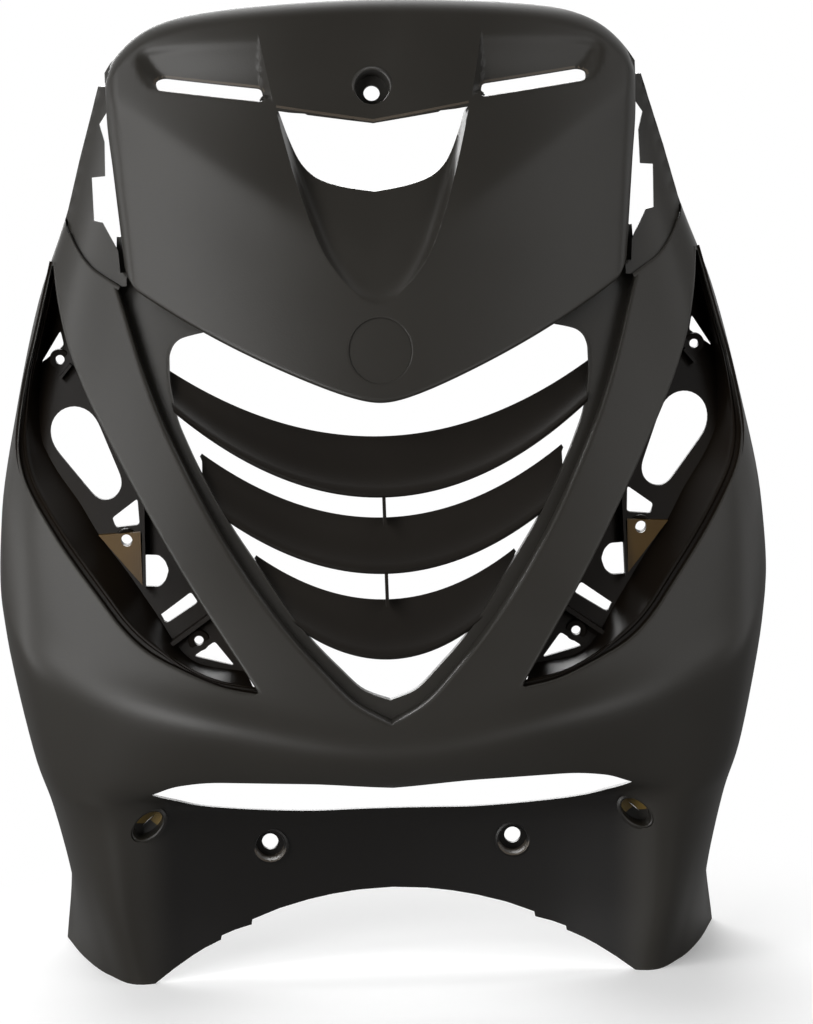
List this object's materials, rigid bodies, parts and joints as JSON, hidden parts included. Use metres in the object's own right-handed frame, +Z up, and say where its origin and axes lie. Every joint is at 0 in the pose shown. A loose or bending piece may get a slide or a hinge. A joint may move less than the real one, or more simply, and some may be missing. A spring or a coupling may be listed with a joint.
{
  "type": "scooter front panel",
  "caption": "Thin moulded front panel of a small scooter: bowed hood with a central scoop, deep lamp recesses, a louvred V-shaped grille, an open chin and hollow legs it stands on.",
  "frame": {"origin": "on the floor, under the middle of the panel's box", "axes": "+Z up, the front looks along -Y, +X to the right as seen from the front"},
  "size_m": [0.448, 0.212, 0.5552],
  "materials": {
    "moulding": "matt black paint with a soft sheen, thin in the deep pockets"
  },
  "bodies": {
    "root": {"front_panel": "moulding"}
  },
  "joints": []
}
